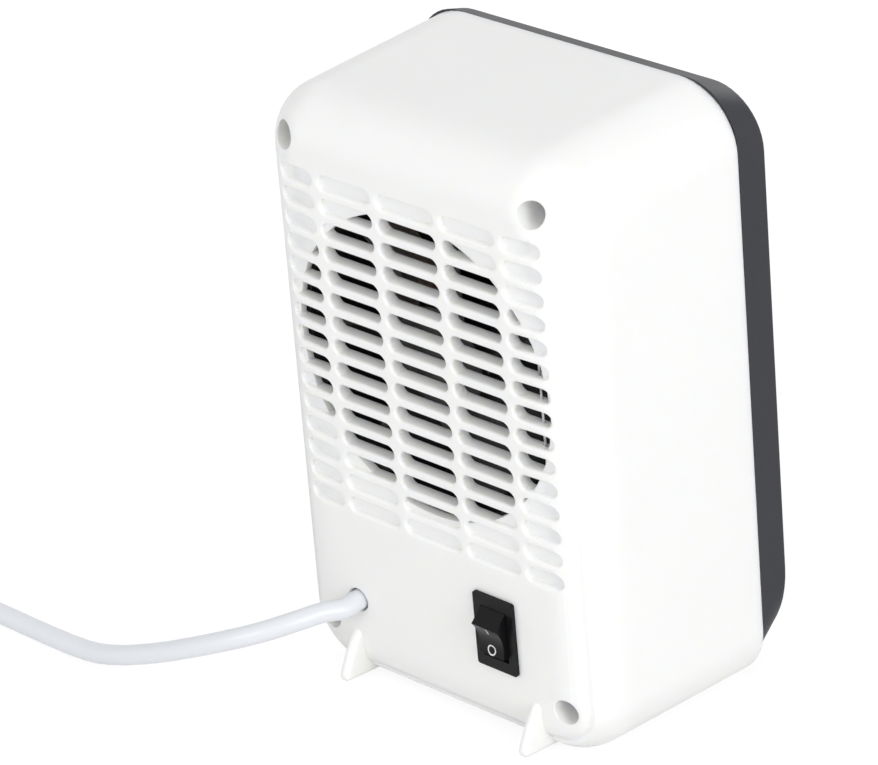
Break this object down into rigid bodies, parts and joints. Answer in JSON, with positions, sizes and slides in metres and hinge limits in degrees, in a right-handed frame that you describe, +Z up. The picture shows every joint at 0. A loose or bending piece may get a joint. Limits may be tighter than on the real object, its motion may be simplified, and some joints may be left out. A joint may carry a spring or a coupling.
{
  "type": "fan heater",
  "caption": "Small upright ceramic fan heater: white shell with slotted rear inlet, dark front bezel and outlet grille, rocker switch, axial fan, heating element and coiled mains lead.",
  "frame": {"origin": "middle of the body's box on the surface it stands on, without the free lead and plug", "axes": "+Z up, +Y towards the back with the inlet slots, -Y towards the warm air outlet, +X to the right seen from the front"},
  "size_m": [0.362, 0.1138, 0.1684],
  "materials": {
    "white_shell": "fine matt texture",
    "charcoal": "satin",
    "black_plastic": "semi gloss",
    "duct_black": "matt",
    "fan_plastic": "satin",
    "steel": "zinc plated",
    "bronze": "sintered",
    "ferrite": "matt",
    "copper": "enamelled",
    "heat_plastic": "matt",
    "end_block": "matt",
    "aluminium": "mill",
    "ceramic": "matt ceramic",
    "brass": "stamped",
    "fuse_body": "matt ceramic",
    "phenolic": "matt",
    "brown_wire": "satin",
    "blue_wire": "satin",
    "red_wire": "satin",
    "white_cord": "satin",
    "plug_white": "satin",
    "pin_metal": "nickel plated"
  },
  "bodies": {
    "heater": {"rear_housing": "white_shell", "front_bezel": "charcoal", "outlet_grille": "charcoal", "case_screws": "steel", "fan_duct": "duct_black", "motor_can": "steel", "motor_magnets": "ferrite", "motor_rear_bush": "bronze", "motor_front_bush": "bronze", "motor_end_cap": "heat_plastic", "motor_screws": "steel", "heater_frame": "heat_plastic", "frame_screws": "steel", "element_end_blocks": "end_block", "element_fins": "aluminium", "element_stones": "ceramic", "element_strips": "brass", "thermostat_body": "phenolic", "thermostat_cap": "aluminium", "thermostat_tabs": "brass", "thermal_fuse": "fuse_body", "switch_body": "black_plastic", "switch_terminals": "brass", "cord_clamp": "white_shell", "clamp_screws": "steel", "cord_tail": "white_cord", "live_lead": "brown_wire", "neutral_lead": "blue_wire", "switched_lead": "brown_wire", "heater_lead": "brown_wire", "motor_leads": "red_wire", "fuse_lead": "brown_wire", "supply_lead": "blue_wire", "lead_splice": "heat_plastic", "power_cord": "white_cord", "power_cord_coil": "white_cord", "power_cord_end": "white_cord", "plug_body": "plug_white", "plug_pins": "pin_metal"},
    "fan": {"fan_impeller": "fan_plastic", "motor_shaft": "steel", "motor_rotor": "steel", "rotor_windings": "copper", "motor_commutator": "copper"},
    "rocker": {"switch_rocker": "black_plastic", "switch_plunger": "brass"},
    "contact_blade": {"switch_blade": "brass"}
  },
  "joints": [
    {"name": "fan_spin", "type": "hinge", "parent": "heater", "child": "fan", "pos_m": [0, 0.01792, 0.10109], "axis": [0, 0.996, -0.0898], "continuous": true},
    {"name": "switch_rock", "type": "hinge", "parent": "heater", "child": "rocker", "pos_m": [-0.0193, 0.03173, 0.03157], "axis": [1, 0, 0], "range_deg": [0, 26]},
    {"name": "contact_tilt", "type": "hinge", "parent": "heater", "child": "contact_blade", "pos_m": [-0.0193, 0.02277, 0.03238], "axis": [1, 0, 0], "range_deg": [-15.7, 0]}
  ],
  "couplings": [
    {"joint": "contact_tilt", "follows": "switch_rock", "ratio": -0.6}
  ]
}
